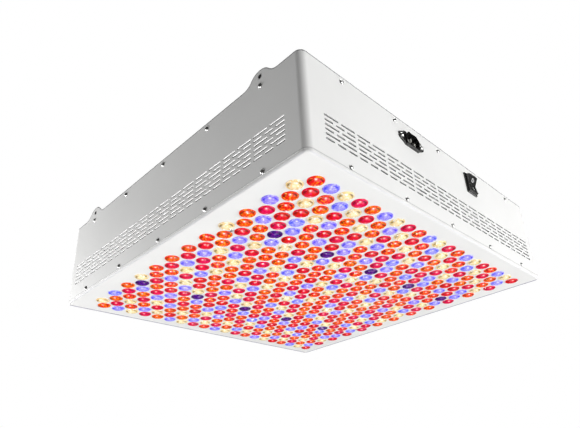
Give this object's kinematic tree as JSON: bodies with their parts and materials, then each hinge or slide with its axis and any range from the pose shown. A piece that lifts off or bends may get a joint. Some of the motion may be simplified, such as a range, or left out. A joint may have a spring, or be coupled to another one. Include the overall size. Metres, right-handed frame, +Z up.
{
  "type": "led grow light",
  "caption": "Square hanging LED grow light with a lens plate below, slotted white sheet-metal walls, hanging ears, cover fans, a mains inlet and a rocker switch.",
  "frame": {"origin": "midway between the four hanging holes, at the height of their axes", "axes": "+Z up as the light hangs, -Y towards the wall with the mains inlet and the switch, -X towards the left wall with its two ears"},
  "size_m": [0.504, 0.5102, 0.14],
  "materials": {
    "white_paint": "satin white powder coat",
    "lens_orange": "clear moulded lens over an orange-red emitter",
    "lens_red": "clear moulded lens over a crimson emitter",
    "lens_blue": "clear moulded lens over a blue emitter",
    "lens_white": "clear moulded lens over a warm white emitter",
    "lens_violet": "clear moulded lens over a deep violet emitter",
    "emitter": "clear silicone cap on a white package",
    "board": "white solder mask on an aluminium board",
    "bare_aluminium": "mill-finish extrusion",
    "driver_case": "sand-blasted aluminium",
    "fan_plastic": "black glass-filled moulding",
    "guard_wire": "bright plated wire",
    "black_plastic": "glossy black moulding",
    "plated_contact": "nickel-plated contact",
    "block_plastic": "cream moulding",
    "lead_green": "green PVC insulation",
    "lead_blue": "blue PVC insulation",
    "lead_brown": "brown PVC insulation",
    "fixing_steel": "zinc-plated steel"
  },
  "bodies": {
    "casing": {"casing_screws": "fixing_steel", "driver_nuts": "fixing_steel", "driver_screws": "fixing_steel", "earth_stud": "fixing_steel", "emitters_blue": "emitter", "emitters_orange": "emitter", "emitters_red": "emitter", "emitters_violet": "emitter", "emitters_white": "emitter", "fan_frame_1": "fan_plastic", "fan_frame_2": "fan_plastic", "fan_frame_3": "fan_plastic", "fan_frame_4": "fan_plastic", "fan_guard_1": "guard_wire", "fan_guard_2": "guard_wire", "fan_guard_3": "guard_wire", "fan_guard_4": "guard_wire", "fan_screws": "fixing_steel", "heat_sink_1": "bare_aluminium", "heat_sink_2": "bare_aluminium", "heat_sink_3": "bare_aluminium", "heat_sink_4": "bare_aluminium", "inlet_housing": "black_plastic", "inlet_nuts": "fixing_steel", "inlet_pins": "plated_contact", "inlet_screws": "fixing_steel", "lead_earth": "lead_green", "lead_live_in": "lead_brown", "lead_live_out": "lead_brown", "lead_neutral": "lead_blue", "led_board_1": "board", "led_board_2": "board", "led_board_3": "board", "led_board_4": "board", "led_driver_1": "driver_case", "led_driver_2": "driver_case", "led_driver_3": "driver_case", "led_driver_4": "driver_case", "lens_tray": "white_paint", "lenses_blue": "lens_blue", "lenses_orange": "lens_orange", "lenses_red": "lens_red", "lenses_violet": "lens_violet", "lenses_white": "lens_white", "plate_screws": "fixing_steel", "plate_spacers": "fixing_steel", "switch_housing": "black_plastic", "switch_terminals": "plated_contact", "terminal_block": "block_plastic", "top_cover": "white_paint", "wall_back": "white_paint", "wall_front": "white_paint", "wall_left": "white_paint", "wall_right": "white_paint"},
    "rotor_1": {"fan_rotor_1": "fan_plastic"},
    "rotor_2": {"fan_rotor_2": "fan_plastic"},
    "rotor_3": {"fan_rotor_3": "fan_plastic"},
    "rotor_4": {"fan_rotor_4": "fan_plastic"},
    "rocker": {"switch_rocker": "black_plastic"}
  },
  "joints": [
    {"name": "fan_spin_1", "type": "hinge", "parent": "casing", "child": "rotor_1", "pos_m": [-0.115, -0.115, -0.019], "axis": [0, 0, 1], "continuous": true},
    {"name": "fan_spin_2", "type": "hinge", "parent": "casing", "child": "rotor_2", "pos_m": [0.115, -0.115, -0.019], "axis": [0, 0, 1], "continuous": true},
    {"name": "fan_spin_3", "type": "hinge", "parent": "casing", "child": "rotor_3", "pos_m": [0.115, 0.115, -0.019], "axis": [0, 0, 1], "continuous": true},
    {"name": "fan_spin_4", "type": "hinge", "parent": "casing", "child": "rotor_4", "pos_m": [-0.115, 0.115, -0.019], "axis": [0, 0, 1], "continuous": true},
    {"name": "switch_rock", "type": "hinge", "parent": "casing", "child": "rocker", "pos_m": [0.075, -0.25, -0.033], "axis": [-1, 0, 0], "range_deg": [0, 16]}
  ]
}
